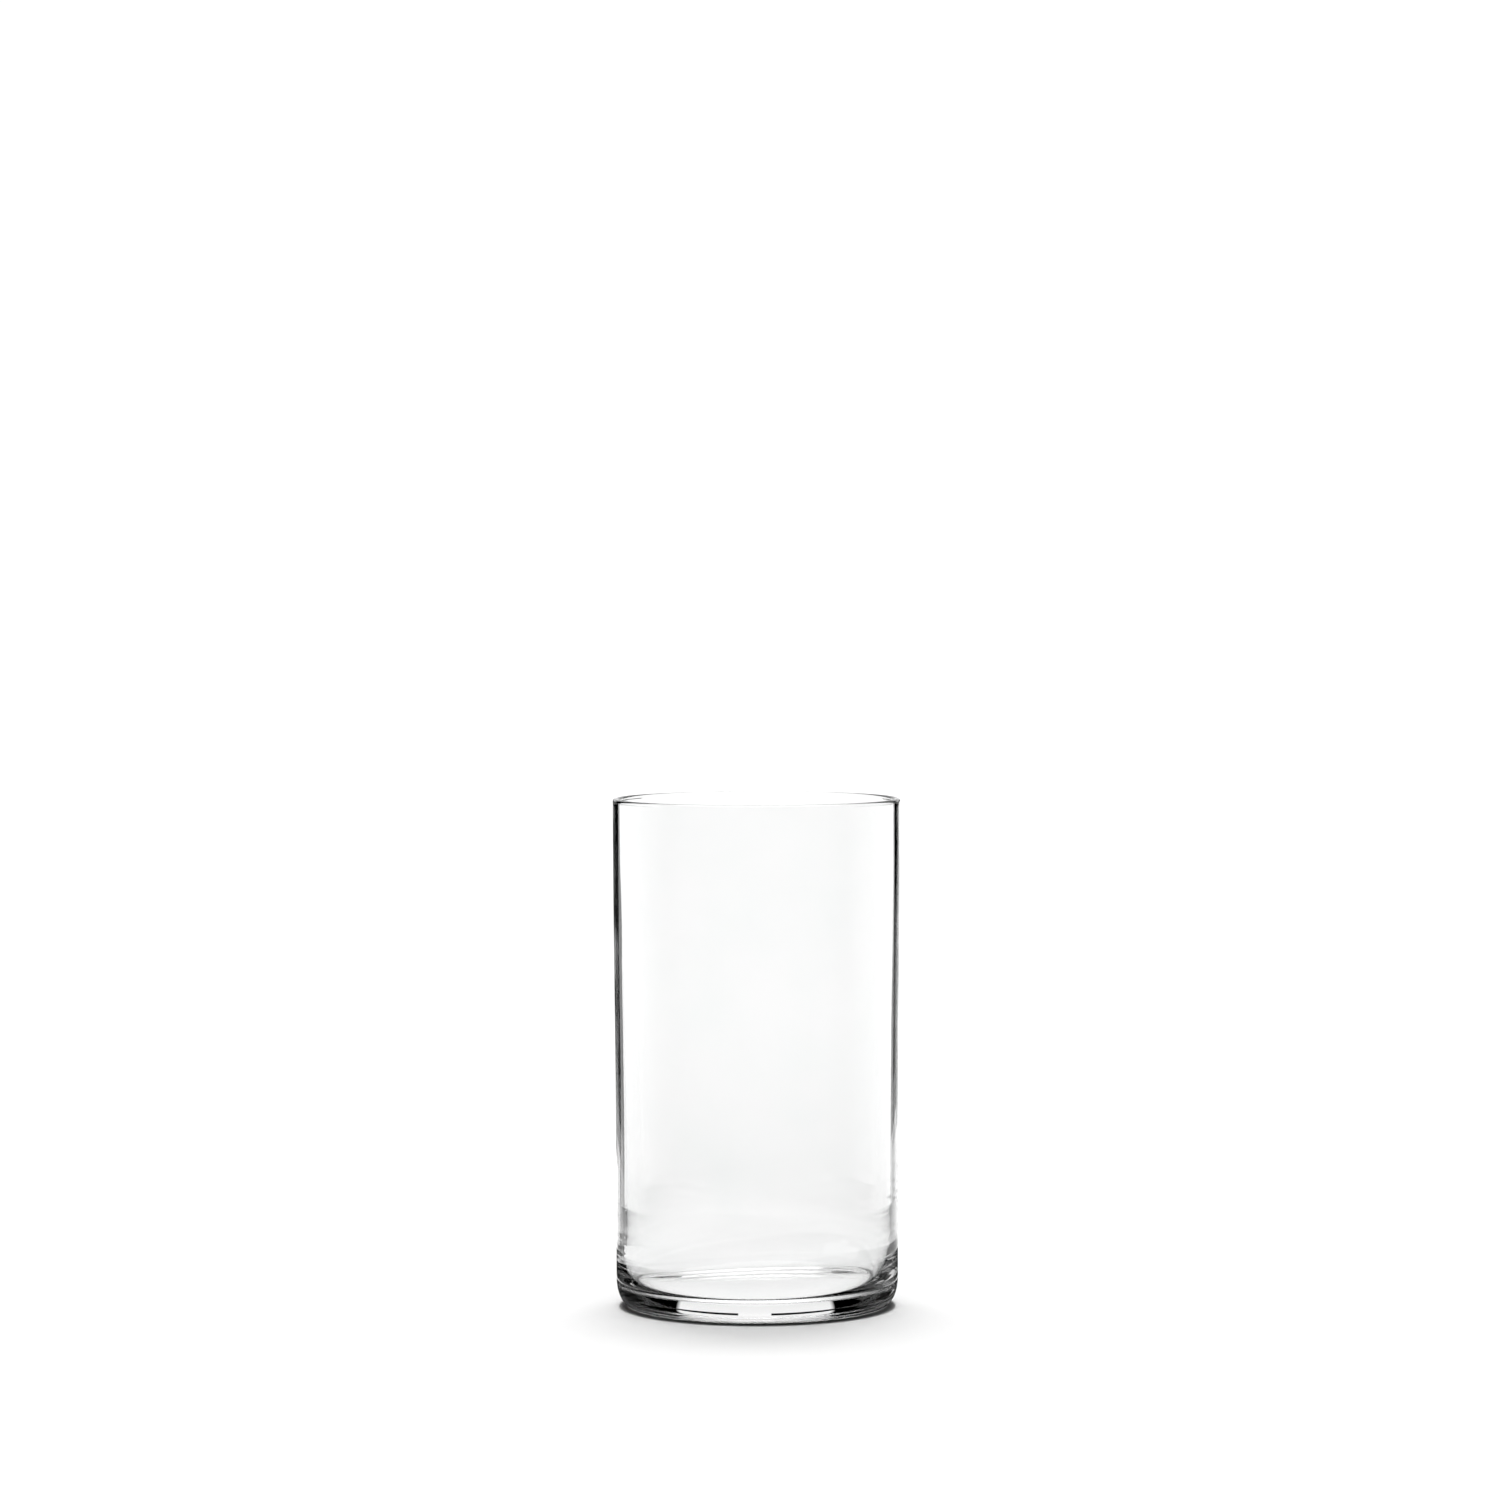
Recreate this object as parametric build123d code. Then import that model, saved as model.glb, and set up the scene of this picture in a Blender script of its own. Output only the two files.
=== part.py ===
from build123d import *
import math
import os

# Blown cylinder vase in clear glass: one turned body, standing on the plane Z = 0.
# Its axis is Z and its origin is the middle of its foot. Lengths are in millimetres.

height = 212.0            # foot plane to the top of the rim
rim_radius = 60.0         # outside of the lip, the widest place
lip_round = 1.285         # radius of the fire-polished lip's bead
neck_round = 12.0         # hollow round where the bead runs into the wall

shoulder_height = 182.0   # where the outside reaches its full width below the lip
shoulder_radius = 59.9
waist_height = 88.0       # where the outside is narrowest
waist_radius = 59.1
heel_radius = 58.9        # outside, just above the foot
heel_inset = 5.65         # the heel turns in this far under the outside
heel_height = 11.5        # and starts this high above the foot

top_wall = 2.55           # wall thickness just under the lip
shoulder_wall = 2.65      # wall thickness at the shoulder
waist_wall = 3.75         # wall thickness at the waist
heel_wall = 3.9           # wall thickness where the inside starts to turn in

floor_height = 8.0        # thickness of the solid base at the edge of its flat
floor_radius = 48.8       # flat part of the inside floor
cove_height = 16.0        # rise of the inside cove from floor to wall
cove_floor_pull = 4.5     # how far the cove keeps to the floor before it turns up
cove_wall_pull = 10.0     # and how far it keeps to the wall
ring_width = 6.0          # flat contact ring under the heel
kick_height = 1.5         # rise of the hollow underside at the axis

# The lip's bead is a round on the wall's middle line. Each neck is a hollow round that
# touches the bead on one side and the wall's face on the other.
lip_radius = rim_radius - lip_round
lip_height = height - lip_round
neck_reach = neck_round + lip_round
neck_out = neck_round + top_wall / 2.0
neck_drop = math.sqrt(neck_reach**2 - neck_out**2)
wall_top = lip_height - neck_drop
touch_out = lip_round * neck_out / neck_reach
touch_height = lip_height - lip_round * neck_drop / neck_reach

outer_top = lip_radius + top_wall / 2.0
inner_top = lip_radius - top_wall / 2.0
ring_outer = heel_radius - heel_inset
ring_inner = ring_outer - ring_width
cove_top = floor_height + cove_height
cove_radius = heel_radius - heel_wall
kick_round = (ring_inner**2 + kick_height**2) / (2.0 * kick_height)

up = (0, 1)
down = (0, -1)


def foot_line():
    """Hollow underside from the axis out, contact ring and heel."""
    heel = EllipticalCenterArc(
        (ring_outer, heel_height),
        x_radius=heel_inset,
        y_radius=heel_height,
        start_angle=270,
        arc_size=90,
    )
    return [
        RadiusArc((0, kick_height), (ring_inner, 0), kick_round),
        Line((ring_inner, 0), (ring_outer, 0)),
        heel,
    ]


def outside_line():
    """Outside wall from the heel up to the neck under the lip."""
    points = [
        (heel_radius, heel_height),
        (waist_radius, waist_height),
        (shoulder_radius, shoulder_height),
        (outer_top, wall_top),
    ]
    return [Spline(points, tangents=[up, up])]


def lip_line():
    """Outside neck, round bead and inside neck."""
    outer_touch = (lip_radius + touch_out, touch_height)
    inner_touch = (lip_radius - touch_out, touch_height)
    return [
        RadiusArc((outer_top, wall_top), outer_touch, neck_round),
        ThreePointArc(outer_touch, (lip_radius, height), inner_touch),
        RadiusArc(inner_touch, (inner_top, wall_top), neck_round),
    ]


def inside_line():
    """Inside wall down from the lip, then the cove and the flat floor to the axis."""
    points = [
        (inner_top, wall_top),
        (shoulder_radius - shoulder_wall, shoulder_height),
        (waist_radius - waist_wall, waist_height),
        (cove_radius, cove_top),
    ]
    cove = Bezier(
        (cove_radius, cove_top),
        (cove_radius, cove_top - cove_wall_pull),
        (floor_radius + cove_floor_pull, floor_height),
        (floor_radius, floor_height),
    )
    floor = Line((floor_radius, floor_height), (0, floor_height))
    return [Spline(points, tangents=[down, down]), cove, floor]


axis_line = Line((0, floor_height), (0, kick_height))
outline = foot_line() + outside_line() + lip_line() + inside_line() + [axis_line]
section = Plane.XZ * make_face(outline)

glass_vessel = revolve(section, Axis.Z, 360)
glass_vessel.label = "glass_vessel"

os.makedirs("parts", exist_ok=True)
export_step(glass_vessel, "parts/glass_vessel.step")
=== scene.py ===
import math

import bpy
import numpy as np
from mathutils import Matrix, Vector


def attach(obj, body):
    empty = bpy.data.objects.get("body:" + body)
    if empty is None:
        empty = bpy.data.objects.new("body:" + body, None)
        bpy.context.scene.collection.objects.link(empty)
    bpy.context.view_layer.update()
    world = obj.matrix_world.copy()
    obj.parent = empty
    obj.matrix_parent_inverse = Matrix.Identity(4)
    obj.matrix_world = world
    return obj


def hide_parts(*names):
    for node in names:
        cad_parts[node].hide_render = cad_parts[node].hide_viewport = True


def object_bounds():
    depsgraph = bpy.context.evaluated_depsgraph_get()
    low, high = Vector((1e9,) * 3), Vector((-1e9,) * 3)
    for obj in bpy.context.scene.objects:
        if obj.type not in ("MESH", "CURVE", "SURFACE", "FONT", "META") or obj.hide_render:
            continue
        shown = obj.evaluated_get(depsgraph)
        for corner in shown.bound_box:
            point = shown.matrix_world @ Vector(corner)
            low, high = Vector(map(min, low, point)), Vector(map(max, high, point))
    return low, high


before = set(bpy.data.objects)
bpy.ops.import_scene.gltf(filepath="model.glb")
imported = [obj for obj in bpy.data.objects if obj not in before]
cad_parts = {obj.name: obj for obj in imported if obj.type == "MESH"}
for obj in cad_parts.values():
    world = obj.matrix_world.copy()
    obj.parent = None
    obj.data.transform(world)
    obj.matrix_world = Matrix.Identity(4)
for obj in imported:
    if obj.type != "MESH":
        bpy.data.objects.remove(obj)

# Clear blown-glass cylinder vase on a pale floor. Lengths are in metres and the axis of the vase is Z.
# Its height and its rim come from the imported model's own box, and the other radii from the rim.

MM = 0.001
cad_low, cad_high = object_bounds()

# ---------------------------------------------------------------- the vase's dimensions

height = cad_high.z
rim_radius = cad_high.x
lip_round = 1.285 * MM         # bead of the fire-polished lip
neck_round = 12.0 * MM         # hollow round under the bead
shoulder_height = 182.0 * MM   # the outside reaches its full width here
shoulder_radius = rim_radius - 0.1 * MM
waist_height = 88.0 * MM       # and is narrowest here
waist_radius = rim_radius - 0.9 * MM
heel_radius = rim_radius - 1.1 * MM
heel_inset = 5.65 * MM         # the heel turns in this far under the outside
heel_height = 11.5 * MM
top_wall = 2.55 * MM           # thickness of the wall, from the lip down
shoulder_wall = 2.65 * MM
waist_wall = 3.75 * MM
heel_wall = 3.9 * MM
floor_height = 8.0 * MM        # thickness of the solid base
floor_radius = 48.8 * MM       # flat part of the inside floor
cove_height = 16.0 * MM        # rise of the inside cove from floor to wall
cove_floor_pull = 4.5 * MM     # how far the cove keeps to the floor
cove_wall_pull = 10.0 * MM     # and to the wall
ring_width = 6.0 * MM          # flat contact ring under the heel
kick_height = 1.5 * MM         # rise of the hollow underside at the axis

TURN = 300                     # faces round the body
SEED = 7                       # for the waves, and the place of the noise
SLOW_OUT = 0.014 * MM          # depth of the slow waves of the outside
SLOW_IN = 0.018 * MM           # and of the inside
RIPPLE = 0.045 * MM            # depth of the tool ripples on the right
RIPPLE_TOP = 66.0 * MM         # where they fade out
LEFT_RIPPLE = 0.45 * RIPPLE    # and the same on the left
LEFT_RIPPLE_TOP = 50.0 * MM
GATHER = 0.04 * MM             # depth of the gather marks in the inside floor
GATHER_RIGHT = 9.0 * MM        # their middle is this far to the right of the axis
GATHER_PITCH = 3.6 * MM
GATHER_REACH = 8.0 * MM
DRIFT = 0.35 * MM              # the inside wall sits slightly to the right of the outside
SLIDE = -0.8 * MM              # and the inside floor slightly to the left
OUTSIDE, INSIDE, COVE, FLAT = 3, 7, 8, 9   # places of these parts in the profile


# ---------------------------------------------------------------- profile

def clamped_spline(points, z):
    """Smooth curve r(z) through the points, upright at both ends, as rows of (r, z)."""
    radius = np.array([p[0] for p in points])
    level = np.array([p[1] for p in points])
    step = np.diff(level)
    size = len(points)
    matrix = np.eye(size)
    right = np.zeros(size)
    for i in range(1, size - 1):
        matrix[i, i - 1] = step[i]
        matrix[i, i] = 2.0 * (step[i - 1] + step[i])
        matrix[i, i + 1] = step[i - 1]
        right[i] = 3.0 * (
            step[i] * (radius[i] - radius[i - 1]) / step[i - 1]
            + step[i - 1] * (radius[i + 1] - radius[i]) / step[i]
        )
    slope = np.linalg.solve(matrix, right)
    k = np.clip(np.searchsorted(level, z, side="right") - 1, 0, size - 2)
    t = (z - level[k]) / step[k]
    r = (
        (2 * t**3 - 3 * t**2 + 1) * radius[k]
        + (t**3 - 2 * t**2 + t) * step[k] * slope[k]
        + (3 * t**2 - 2 * t**3) * radius[k + 1]
        + (t**3 - t**2) * step[k] * slope[k + 1]
    )
    return np.column_stack([r, z])


def arc(centre, radius_r, radius_z, start, end, count):
    """Elliptical arc about centre, angles in degrees from +r towards +z."""
    angle = np.radians(np.linspace(start, end, count))
    return np.column_stack(
        [centre[0] + radius_r * np.cos(angle), centre[1] + radius_z * np.sin(angle)]
    )


def bezier(start, pull_start, pull_end, end, count):
    """Cubic curve from start to end, as rows of (r, z)."""
    t = np.linspace(0.0, 1.0, count)[:, None]
    return (
        (1 - t) ** 3 * np.array(start)
        + 3 * (1 - t) ** 2 * t * np.array(pull_start)
        + 3 * (1 - t) * t**2 * np.array(pull_end)
        + t**3 * np.array(end)
    )


def vase_profile():
    """Half section from the axis under the foot, round the outside and back to the axis, as rows of
    (r, z), and the place of each row's part in the list of parts."""
    lip_radius = rim_radius - lip_round
    lip_height = height - lip_round
    reach = neck_round + lip_round
    neck_out = neck_round + top_wall / 2
    neck_drop = math.sqrt(reach**2 - neck_out**2)
    wall_top = lip_height - neck_drop
    lean = math.degrees(math.atan2(neck_drop, neck_out))
    outer_top = lip_radius + top_wall / 2
    inner_top = lip_radius - top_wall / 2
    ring_outer = heel_radius - heel_inset
    ring_inner = ring_outer - ring_width
    cove_top = floor_height + cove_height
    cove_radius = heel_radius - heel_wall

    along = np.linspace(0.0, ring_inner, 15)
    kick = np.column_stack([along, kick_height * (1 - (along / ring_inner) ** 2)])
    ring = np.column_stack([np.linspace(ring_inner, ring_outer, 4), np.zeros(4)])
    heel = arc((ring_outer, heel_height), heel_inset, heel_height, -90, 0, 17)
    dense = np.linspace(heel_height, RIPPLE_TOP, 84)
    sparse = np.linspace(RIPPLE_TOP, wall_top, 57)[1:]
    outside = clamped_spline(
        [
            (heel_radius, heel_height),
            (waist_radius, waist_height),
            (shoulder_radius, shoulder_height),
            (outer_top, wall_top),
        ],
        np.concatenate([dense, sparse]),
    )
    outer_centre = (outer_top + neck_round, wall_top)
    outer_neck = arc(outer_centre, neck_round, neck_round, 180, 180 - lean, 4)
    lip = arc((lip_radius, lip_height), lip_round, lip_round, -lean, 180 + lean, 23)
    inner_centre = (inner_top - neck_round, wall_top)
    inner_neck = arc(inner_centre, neck_round, neck_round, lean, 0, 4)
    inside = clamped_spline(
        [
            (cove_radius, cove_top),
            (waist_radius - waist_wall, waist_height),
            (shoulder_radius - shoulder_wall, shoulder_height),
            (inner_top, wall_top),
        ],
        np.linspace(cove_top, wall_top, 60),
    )[::-1]
    cove = bezier(
        (cove_radius, cove_top),
        (cove_radius, cove_top - cove_wall_pull),
        (floor_radius + cove_floor_pull, floor_height),
        (floor_radius, floor_height),
        27,
    )
    back = np.linspace(floor_radius, 0.0, 37)
    floor = np.column_stack([back, np.full(len(back), floor_height)])
    parts = [kick, ring, heel, outside, outer_neck, lip, inner_neck, inside, cove, floor]
    rows = [parts[0]] + [p[1:] for p in parts[1:]]
    tags = np.concatenate([np.full(len(p), i) for i, p in enumerate(rows)])
    return np.vstack(rows), tags


def ease(value, start, end):
    """0 before start, 1 after end, smooth between."""
    t = np.clip((value - start) / (end - start), 0.0, 1.0)
    return t * t * (3 - 2 * t)


def waves(rng, count, angle, level, turns, lengths):
    """Sum of seeded sine waves over the wall, about -1 to 1."""
    total = 0.0
    for _ in range(count):
        around = rng.integers(turns[0], turns[1] + 1)
        length = rng.uniform(*lengths)
        lean = rng.choice([-1, 1])
        phase = rng.uniform(0, 2 * math.pi)
        total = total + np.sin(around * angle + lean * 2 * math.pi * level / length + phase)
    return total / math.sqrt(count)


def hand_made(points, tags, angle):
    """Small unevenness of blown glass: slow waves, tool ripples low on the wall, an inside that leaves
    the outside's axis, and gather marks."""
    rng = np.random.default_rng(SEED)
    level = points[:, :, 2]
    round_angle = np.broadcast_to(angle, level.shape)
    tag = tags[:, None]
    wall = ease(level, 9 * MM, 22 * MM) * ease(height - level, 5 * MM, 16 * MM)
    outer = (tag == OUTSIDE) * wall
    inner = ((tag == INSIDE) | (tag == COVE)) * wall
    slow_out = SLOW_OUT * waves(rng, 9, round_angle, level, (1, 6), (45 * MM, 150 * MM))
    slow_in = SLOW_IN * waves(rng, 9, round_angle, level, (1, 5), (40 * MM, 140 * MM))
    ripple = waves(rng, 7, round_angle, level, (1, 9), (3.2 * MM, 7.5 * MM))
    band = ease(level, 10 * MM, 17 * MM)
    right_band = RIPPLE * band * ease(RIPPLE_TOP - level, 0.0, 22 * MM)
    left_band = LEFT_RIPPLE * band * ease(LEFT_RIPPLE_TOP - level, 0.0, 16 * MM)
    right = np.exp(-((np.degrees(round_angle) - 90) / 26) ** 2)
    left = np.exp(-((np.degrees(round_angle) - 270) / 22) ** 2)
    ripple = ripple * (right_band * right + left_band * left)
    push = outer * slow_out + (tag == OUTSIDE) * ripple + inner * slow_in
    radius = np.hypot(points[:, :, 0], points[:, :, 1])
    push = np.minimum(push, 0.9 * (rim_radius - radius))   # the rim stays the widest place
    scale = np.where(radius > 0, 1 + push / np.maximum(radius, 1e-9), 1.0)
    points[:, :, 0] *= scale
    points[:, :, 1] *= scale
    drift = SLIDE + (DRIFT - SLIDE) * ease(level, floor_height, 30 * MM)
    drift = drift * ease(height - level, 4 * MM, 70 * MM)
    points[:, :, 0] += (tag >= INSIDE) * drift
    across = points[:, :, 0] - GATHER_RIGHT
    away = np.hypot(across, points[:, :, 1])
    swirl = np.arctan2(points[:, :, 1], across)
    mark = np.cos(2 * math.pi * away / GATHER_PITCH + swirl) * np.exp(-((away / GATHER_REACH) ** 2))
    fade = ease(radius, 0.0, 3 * MM)
    points[:, :, 2] += (tag == FLAT) * fade * GATHER * mark
    return points


def revolve(profile, turns):
    """Points (row, turn, xyz) of the profile turned about Z, and the angle of each turn from the front.
    The first and last rows lie on the axis."""
    angle = np.arange(turns) * 2 * math.pi / turns
    r = profile[:, 0][:, None]
    z = profile[:, 1][:, None]
    x = r * np.sin(angle)
    y = -r * np.cos(angle)
    return np.stack([x, y, z + 0 * x], axis=2), angle


def make_mesh(name, grid):
    """Closed mesh of a turned grid, with one point at each end on the axis."""
    rows, turns, _ = grid.shape
    inner = grid[1:-1]
    points = np.vstack([grid[0, :1], inner.reshape(-1, 3), grid[-1, :1]])
    first, last = 0, len(points) - 1
    count = rows - 2
    index = 1 + np.arange(count * turns).reshape(count, turns)
    ahead = np.roll(index, -1, axis=1)
    faces = []
    for i in range(turns):
        faces.append((first, int(ahead[0, i]), int(index[0, i])))
    for j in range(count - 1):
        for i in range(turns):
            faces.append(
                (int(index[j, i]), int(ahead[j, i]), int(ahead[j + 1, i]), int(index[j + 1, i]))
            )
    for i in range(turns):
        faces.append((last, int(index[-1, i]), int(ahead[-1, i])))
    mesh = bpy.data.meshes.new(name)
    mesh.from_pydata(points.tolist(), [], faces)
    mesh.validate()
    for polygon in mesh.polygons:
        polygon.use_smooth = True
    return mesh


profile, tags = vase_profile()
grid, angle = revolve(profile, TURN)
grid = hand_made(grid, tags, angle)
vase_mesh = make_mesh("vase_glass", grid)
vase = bpy.data.objects.new("vase_glass", vase_mesh)
bpy.context.scene.collection.objects.link(vase)


# ---------------------------------------------------------------- material

PAINTED_SHADE_TONES = [                      # level up the wall in mm, and the painted shade there: the glass is greyer on the lower wall so the lower inside looks darker
    (0.0, 1.0),
    (9.0, 1.0),
    (18.0, 0.952),
    (40.0, 0.947),
    (58.0, 0.971),
    (76.0, 0.98),
    (100.0, 0.992),
    (125.0, 1.0),
]
GLASS_IOR = 1.52
CLOUD = (0.985, 0.992, 0.99)   # tint of the faint clouding
WORN = 0.35                    # roughness of the scuffed contact ring
WORN_TOP = 0.12 * MM           # the scuffing ends this high above the foot
CORD_DEPTH = 0.012 * MM        # faint upright cords of blown glass
PEEL_DEPTH = 0.0015 * MM       # fine unevenness of the fire-polished skin


def glass_material():
    """Clear glass: painted shade that greys it on the lower wall, faint clouding, upright cords,
    scuffed contact ring.
    """
    material = bpy.data.materials.new("clear_glass")
    material.use_nodes = True
    nodes = material.node_tree.nodes
    links = material.node_tree.links
    shader = nodes["Principled BSDF"]
    shader.inputs["IOR"].default_value = GLASS_IOR
    shader.inputs["Transmission Weight"].default_value = 1.0
    place = nodes.new("ShaderNodeTexCoord")
    split = nodes.new("ShaderNodeSeparateXYZ")
    links.new(place.outputs["Object"], split.inputs[0])

    def noise(scale, detail, stretch=(1.0, 1.0, 1.0)):
        """Noise over the object, in cells for each metre, times stretch along each axis."""
        grow = nodes.new("ShaderNodeMapping")
        grow.inputs["Scale"].default_value = stretch
        grow.inputs["Location"].default_value = (SEED, SEED, SEED)
        texture = nodes.new("ShaderNodeTexNoise")
        texture.inputs["Scale"].default_value = scale
        texture.inputs["Detail"].default_value = detail
        links.new(place.outputs["Object"], grow.inputs["Vector"])
        links.new(grow.outputs[0], texture.inputs["Vector"])
        return texture.outputs["Fac"]

    def spread(value, from_low, from_high, to_low, to_high):
        """Value moved from one range to another and held inside it."""
        node = nodes.new("ShaderNodeMapRange")
        node.inputs["From Min"].default_value = from_low
        node.inputs["From Max"].default_value = from_high
        node.inputs["To Min"].default_value = to_low
        node.inputs["To Max"].default_value = to_high
        links.new(value, node.inputs["Value"])
        return node.outputs["Result"]

    def times(first, second):
        """Product of two values."""
        node = nodes.new("ShaderNodeMath")
        node.operation = "MULTIPLY"
        links.new(first, node.inputs[0])
        links.new(second, node.inputs[1])
        return node.outputs[0]

    # Painted shade: the base colour turns greyer on the lower wall, so the lower inside of the vase
    # looks darker.
    painted_shade_ramp = nodes.new("ShaderNodeValToRGB")
    links.new(spread(split.outputs["Z"], 0.0, height, 0.0, 1.0), painted_shade_ramp.inputs["Fac"])
    elements = painted_shade_ramp.color_ramp.elements
    while len(elements) < len(PAINTED_SHADE_TONES):
        elements.new(0.5)
    for element, (level, value) in zip(elements, PAINTED_SHADE_TONES):
        element.position = level * MM / height
        element.color = (value, value, value, 1)
    cloud = nodes.new("ShaderNodeMix")
    cloud.data_type = "RGBA"
    cloud.blend_type = "MULTIPLY"
    cloud.inputs["B"].default_value = (*CLOUD, 1)
    links.new(spread(noise(38.0, 4.0), 0.42, 0.68, 0.0, 1.0), cloud.inputs["Factor"])
    links.new(painted_shade_ramp.outputs["Color"], cloud.inputs["A"])
    links.new(cloud.outputs["Result"], shader.inputs["Base Color"])

    scuffed = spread(split.outputs["Z"], 0.0, WORN_TOP, 1.0, 0.0)
    scratch = spread(noise(900.0, 6.0, (1.0, 0.25, 1.0)), 0.35, 0.65, 0.3 * WORN, WORN)
    links.new(times(scuffed, scratch), shader.inputs["Roughness"])

    cords = nodes.new("ShaderNodeBump")
    cords.inputs["Distance"].default_value = CORD_DEPTH
    links.new(noise(120.0, 2.0, (1.0, 1.0, 0.12)), cords.inputs["Height"])
    peel = nodes.new("ShaderNodeBump")
    peel.inputs["Distance"].default_value = PEEL_DEPTH
    links.new(noise(700.0, 3.0), peel.inputs["Height"])
    links.new(cords.outputs[0], peel.inputs["Normal"])
    links.new(peel.outputs[0], shader.inputs["Normal"])
    return material


vase_mesh.materials.append(glass_material())
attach(vase, "root")
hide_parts("glass_vessel")


# ---------------------------------------------------------------- stage

FLOOR = -5e-5                  # hair gap, so that the foot and the floor are not one plane
SHEET = 1e-5                   # spacing of the sheets in that gap
FLOOR_HALF = 60.0
FLOOR_TONE = 0.657
WHITE = 1.15                   # brightness of the lit floor


def plain_material(name, tone):
    """Matt grey."""
    material = bpy.data.materials.new(name)
    material.use_nodes = True
    nodes = material.node_tree.nodes
    shader = nodes["Principled BSDF"]
    shader.inputs["Base Color"].default_value = (tone, tone, tone, 1)
    shader.inputs["Roughness"].default_value = 1.0
    shader.inputs["Specular IOR Level"].default_value = 0.0
    return material


def make_floor():
    """Wide pale floor."""
    corners = [(-1, -1), (1, -1), (1, 1), (-1, 1)]
    mesh = bpy.data.meshes.new("floor")
    points = [(x * FLOOR_HALF, y * FLOOR_HALF, FLOOR) for x, y in corners]
    mesh.from_pydata(points, [], [(0, 1, 2, 3)])
    mesh.materials.append(plain_material("pale_floor", FLOOR_TONE))
    floor = bpy.data.objects.new("floor", mesh)
    bpy.context.scene.collection.objects.link(floor)


def card_material(name, paths, reflected):
    """Glow in the card's own tones. If paths is given, only rays that have crossed the glass between
    its two numbers of times see the card, and with reflected only those mirrored on their way."""
    material = bpy.data.materials.new(name)
    material.use_nodes = True
    tree = material.node_tree
    tree.nodes.clear()
    out = tree.nodes.new("ShaderNodeOutputMaterial")
    glow = tree.nodes.new("ShaderNodeEmission")
    painted = tree.nodes.new("ShaderNodeAttribute")
    painted.attribute_name = "tone"
    tree.links.new(painted.outputs["Fac"], glow.inputs["Color"])
    if paths is None:
        tree.links.new(glow.outputs[0], out.inputs["Surface"])
        return material
    least, most = paths
    light_path = tree.nodes.new("ShaderNodeLightPath")
    clear = tree.nodes.new("ShaderNodeBsdfTransparent")
    mix = tree.nodes.new("ShaderNodeMixShader")
    limits = [
        ("Transmission Depth", "GREATER_THAN", least - 0.5),
        ("Transmission Depth", "LESS_THAN", most + 0.5),
    ]
    if reflected:
        limits.append(("Glossy Depth", "GREATER_THAN", 0.5))
    tests = []
    for output, operation, limit in limits:
        test = tree.nodes.new("ShaderNodeMath")
        test.operation = operation
        test.inputs[1].default_value = limit
        tree.links.new(light_path.outputs[output], test.inputs[0])
        tests.append(test)
    while len(tests) > 1:
        both = tree.nodes.new("ShaderNodeMath")
        both.operation = "MULTIPLY"
        tree.links.new(tests.pop().outputs[0], both.inputs[0])
        tree.links.new(tests.pop().outputs[0], both.inputs[1])
        tests.append(both)
    tree.links.new(tests[0].outputs[0], mix.inputs[0])
    tree.links.new(clear.outputs[0], mix.inputs[1])
    tree.links.new(glow.outputs[0], mix.inputs[2])
    tree.links.new(mix.outputs[0], out.inputs["Surface"])
    return material


def make_card(
    name, from_azimuth, to_azimuth, near, far, low, high,
    tone=0.0, far_tone=None, fade=0.0, end_tone=WHITE,
    shift=0.0, steps=24, paths=None, reflected=True,
):
    """Card that only shows in the glass. Azimuth is in degrees from +Y towards +X, measured at a point
    shift metres to the right of the axis. near and far are radii, or pairs of radii at the two
    azimuths, and low and high are their levels, so an upright card has near equal to far. Its two
    ends turn to end_tone over fade degrees. paths and reflected say which rays see it."""
    near = near if isinstance(near, tuple) else (near, near)
    far = far if isinstance(far, tuple) else (far, far)
    far_tone = tone if far_tone is None else far_tone
    points = []
    glows = []
    span = to_azimuth - from_azimuth
    for i in range(steps + 1):
        t = i / steps
        a = math.radians(from_azimuth + span * t)
        r0 = near[0] + (near[1] - near[0]) * t
        r1 = far[0] + (far[1] - far[0]) * t
        end = 1.0 if fade == 0.0 else min(1.0, min(t, 1 - t) * span / fade)
        for r, level, own in ((r0, low, tone), (r1, high, far_tone)):
            x = r * math.sin(a) + shift * math.cos(a)
            y = r * math.cos(a) - shift * math.sin(a)
            points.append((x, y, level))
            glows.append(own * end + end_tone * (1 - end))
    faces = [(2 * i, 2 * i + 2, 2 * i + 3, 2 * i + 1) for i in range(steps)]
    mesh = bpy.data.meshes.new(name)
    mesh.from_pydata(points, [], faces)
    tones = mesh.attributes.new("tone", "FLOAT", "POINT")
    for i, value in enumerate(glows):
        tones.data[i].value = value
    mesh.materials.append(card_material(name, paths, reflected))
    card = bpy.data.objects.new(name, mesh)
    bpy.context.scene.collection.objects.link(card)
    card.visible_camera = False
    card.visible_diffuse = False
    card.visible_shadow = False
    card.visible_volume_scatter = False


# The dark studio round the vase, seen only in the glass. Its gaps are white backdrops.
TENT = 6.0                     # radius of the dark walls
TENT_TOP = 7.0
BACKDROP = (-24.0, 25.5)       # azimuths of the white backdrop behind
SIDE = (-116.0, -70.0)         # and of the one at the left
BACKDROP_TONES = (1.02, 0.84)  # at their lower and upper edges
BACKDROP_FADE = 1.5            # degrees
OVER_BACK = 0.8                # tone of the wall above the backdrop behind
GAP_LOW = 0.45                 # the backdrops' heights
GAP_HIGH = 2.2
HORIZON = 4.5                  # half width of the lit gap under each backdrop, degrees
MIRROR_HORIZON = 5.95          # radius of the strips that only mirrored rays see
SOFTBOX = 4.9                  # radius of the light overhead
SOFTBOX_GLOW = 1.7
FLAG_LEVEL = 0.001             # of the flags on the floor
BASE_FLAG_LEVEL = 0.0012
EDGE = 0.056                   # the wall's edges are this far to each side of the axis
FOOT = 0.053                   # radius of the foot
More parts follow.
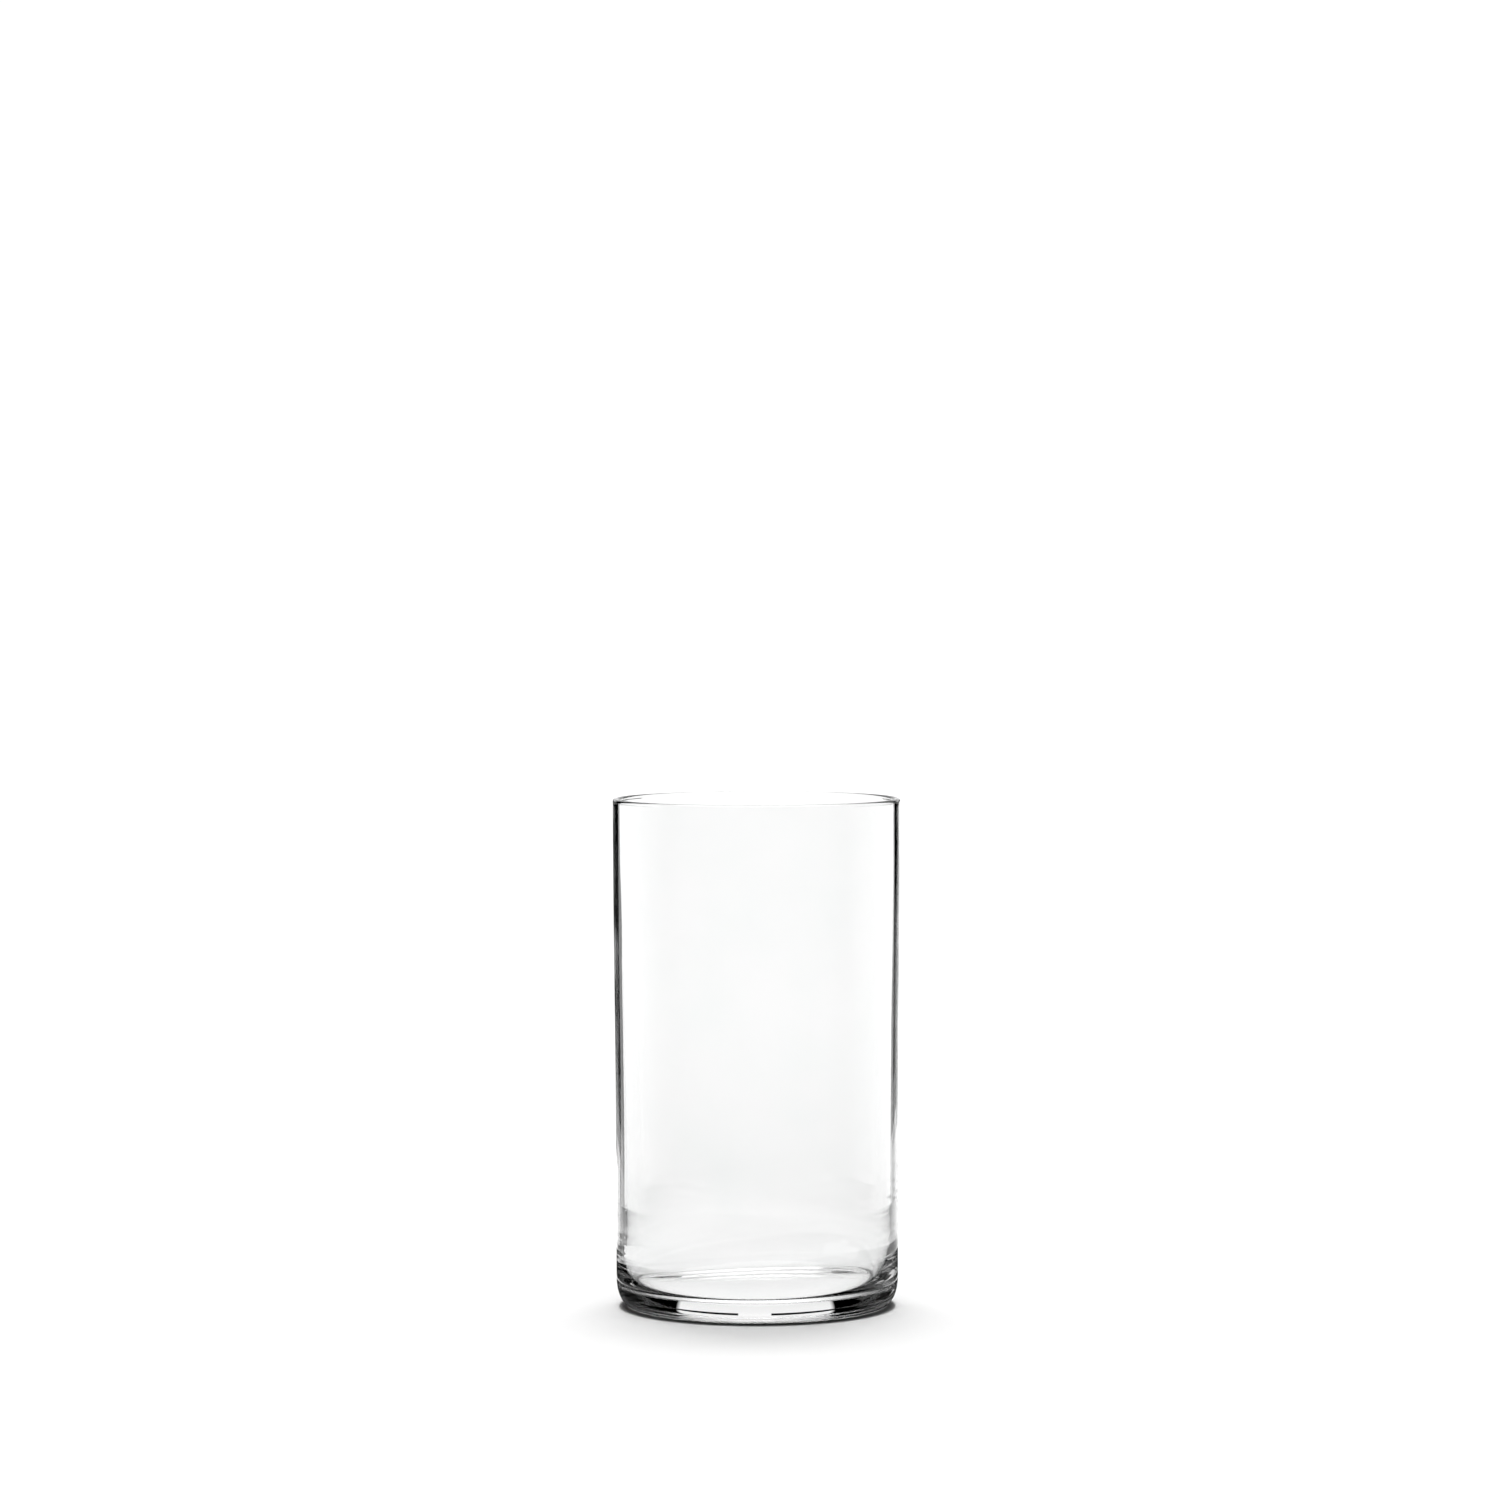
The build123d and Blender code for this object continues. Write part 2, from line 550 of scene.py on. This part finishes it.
MIDDLE = 0.0001                # radius of the hole in a disc

FEW_PATHS = (0, 3)             # crossings of the glass: one wall or the base
STRAIGHT_PATHS = (4, 12)       # right through the vase
ALL_PATHS = (0, 12)


def make_tent():
    """Dark walls and roof, two white backdrops over lit gaps, and a light overhead."""
    low_tone, high_tone = BACKDROP_TONES
    for name, start, end, over, paths in (
        ("back", *BACKDROP, OVER_BACK, None),
        ("side", *SIDE, 0.0, STRAIGHT_PATHS),
    ):
        make_card("tent_over_" + name, start, end, TENT, TENT, GAP_HIGH, TENT_TOP, over)
        make_card(
            "backdrop_" + name, start, end, TENT, TENT, GAP_LOW, GAP_HIGH, low_tone, high_tone,
            fade=BACKDROP_FADE, end_tone=0.0, steps=60, paths=paths,
        )
        middle = (start + end) / 2
        strips = (("left", start, middle - HORIZON), ("right", middle + HORIZON, end))
        for side, first, last in strips:
            make_card(
                "horizon_" + side + "_" + name, first, last, TENT, TENT, 0.0, GAP_LOW,
                paths=FEW_PATHS, reflected=False,
            )
            make_card(
                "mirror_horizon_" + side + "_" + name, first, last, MIRROR_HORIZON, MIRROR_HORIZON,
                0.0, GAP_LOW, paths=ALL_PATHS,
            )
    make_card("tent_right", BACKDROP[1], 360 + SIDE[0], TENT, TENT, 0.0, TENT_TOP, steps=60)
    make_card("tent_left", SIDE[1], BACKDROP[0], TENT, TENT, 0.0, TENT_TOP)
    make_card("tent_roof", -180, 180, SOFTBOX, TENT, TENT_TOP, TENT_TOP, steps=60)
    make_card("softbox", -180, 180, 0.01, SOFTBOX, TENT_TOP, TENT_TOP, SOFTBOX_GLOW, steps=60)


def make_floor_flags():
    """Flags on the floor that darken the wall's edges, the base and the near side."""
    low = FLAG_LEVEL
    left = {"shift": -EDGE, "paths": FEW_PATHS}
    right = {"shift": EDGE, "paths": FEW_PATHS}
    make_card("flag_left_wall", -33, -5, (0.40, 0.55), TENT, low, low, **left)
    make_card("flag_right_wall", 15, 34, (0.66, 0.55), 2.5, low, low, 0.05, 0.0, **right)
    make_card("flag_right_rest", 15, 34, 2.5, TENT, low, low, **right)
    make_card("flag_left_near", -33, -20, 0.16, (0.40, 0.48), low, low, 0.25, **left)
    make_card("flag_right_near", 20, 34, 0.16, (0.63, 0.55), low, low, 0.55, **right)
    make_card("flag_foot", -180, 180, FOOT, 0.10, -SHEET, -SHEET, steps=72, paths=FEW_PATHS)
    make_card(
        "flag_pad", -155, 155, MIDDLE, FOOT, -2 * SHEET, -2 * SHEET, 0.1,
        fade=50, steps=60, paths=FEW_PATHS,
    )
    make_card(
        "flag_base", 14, 346, 0.10, 0.175, BASE_FLAG_LEVEL, BASE_FLAG_LEVEL,
        fade=8, steps=72, paths=FEW_PATHS,
    )
    make_card(
        "flag_front_near", 20, 340, 0.12, 0.34, low, low, WHITE, 0.0,
        fade=30, steps=60, paths=ALL_PATHS,
    )
    make_card("flag_front", 40, 320, 0.34, TENT, low, low, fade=60, steps=60, paths=ALL_PATHS)


def make_pad():
    """White pad under the foot, seen only through the glass: a glowing sheet, painted light that stands
    in for the floor there lit through the glass.
    """
    make_card("pad", 0, 360, MIDDLE, FOOT, -3 * SHEET, -3 * SHEET, WHITE, steps=72)


def make_shade(name, rings, to_floor, to_sun):
    """Turned sheet that casts the vase's shadow and isn't seen itself. Its rings are (radius, level,
    how far to the front) in mm, to_floor darkens the floor's even light and to_sun the sunlight."""
    points = []
    turns = 96
    for radius, level, forward in rings:
        for i in range(turns):
            a = 2 * math.pi * i / turns
            x = radius * math.sin(a)
            y = radius * math.cos(a) - forward
            points.append((x * MM, y * MM, level * MM))
    faces = []
    for j in range(len(rings) - 1):
        for i in range(turns):
            k = (i + 1) % turns
            faces.append((j * turns + i, j * turns + k, (j + 1) * turns + k, (j + 1) * turns + i))
    mesh = bpy.data.meshes.new(name)
    mesh.from_pydata(points, [], faces)
    mesh.materials.append(plain_material(name, 0.0))
    shade = bpy.data.objects.new(name, mesh)
    bpy.context.scene.collection.objects.link(shade)
    shade.visible_camera = False
    shade.visible_glossy = False
    shade.visible_transmission = False
    shade.visible_diffuse = to_floor
    shade.visible_shadow = to_sun


FOOT_SHADE = [(53.0, 0.2, 0.0), (56.0, 0.5, 2.5), (58.0, 1.2, 4.5)]
BODY_SHADE = [(57.5, 4.5, 0.0), (57.5, 140.0, 0.0)]

make_floor()
make_tent()
make_floor_flags()
make_pad()
make_shade("foot_shade", FOOT_SHADE, True, True)
make_shade("body_shade", BODY_SHADE, False, True)
vase.visible_shadow = False


# ---------------------------------------------------------------- light

SKY = 1.05                     # strength of the even light
SUN = 2.87                     # soft light from behind
SUN_SPREAD = 50.0              # degrees
SUN_TILT = -40.0
BOUNCES = 32                   # enough for the light's way through both walls and the base

world = bpy.data.worlds.new("studio")
world.use_nodes = True
world.node_tree.nodes["Background"].inputs["Color"].default_value = (1, 1, 1, 1)
world.node_tree.nodes["Background"].inputs["Strength"].default_value = SKY
bpy.context.scene.world = world

sun_data = bpy.data.lights.new("back_light", "SUN")
sun_data.energy = SUN
sun_data.angle = math.radians(SUN_SPREAD)
sun_data.cycles.use_multiple_importance_sampling = False
sun = bpy.data.objects.new("back_light", sun_data)
sun.rotation_mode = "XYZ"
sun.rotation_euler = (math.radians(SUN_TILT), 0.0, 0.0)
bpy.context.scene.collection.objects.link(sun)

scene = bpy.context.scene
scene.view_settings.view_transform = "Standard"
scene.view_settings.look = "None"
scene.cycles.max_bounces = BOUNCES
scene.cycles.glossy_bounces = BOUNCES
scene.cycles.transmission_bounces = BOUNCES


# ---------------------------------------------------------------- camera

CAMERA = (-0.0025, -2.1, 0.3179)
DOWN = 2.34                    # degrees below level
ROLL = 0.1                     # degrees
LENS = 120.9

camera_data = bpy.data.cameras.new("camera")
camera = bpy.data.objects.new("camera", camera_data)
scene.collection.objects.link(camera)
camera.location = CAMERA
camera.rotation_mode = "XYZ"
camera.rotation_euler = (math.radians(90 - DOWN), math.radians(ROLL), 0.0)
camera_data.sensor_width = 36.0
camera_data.lens = LENS
camera_data.clip_end = 200.0
scene.camera = camera
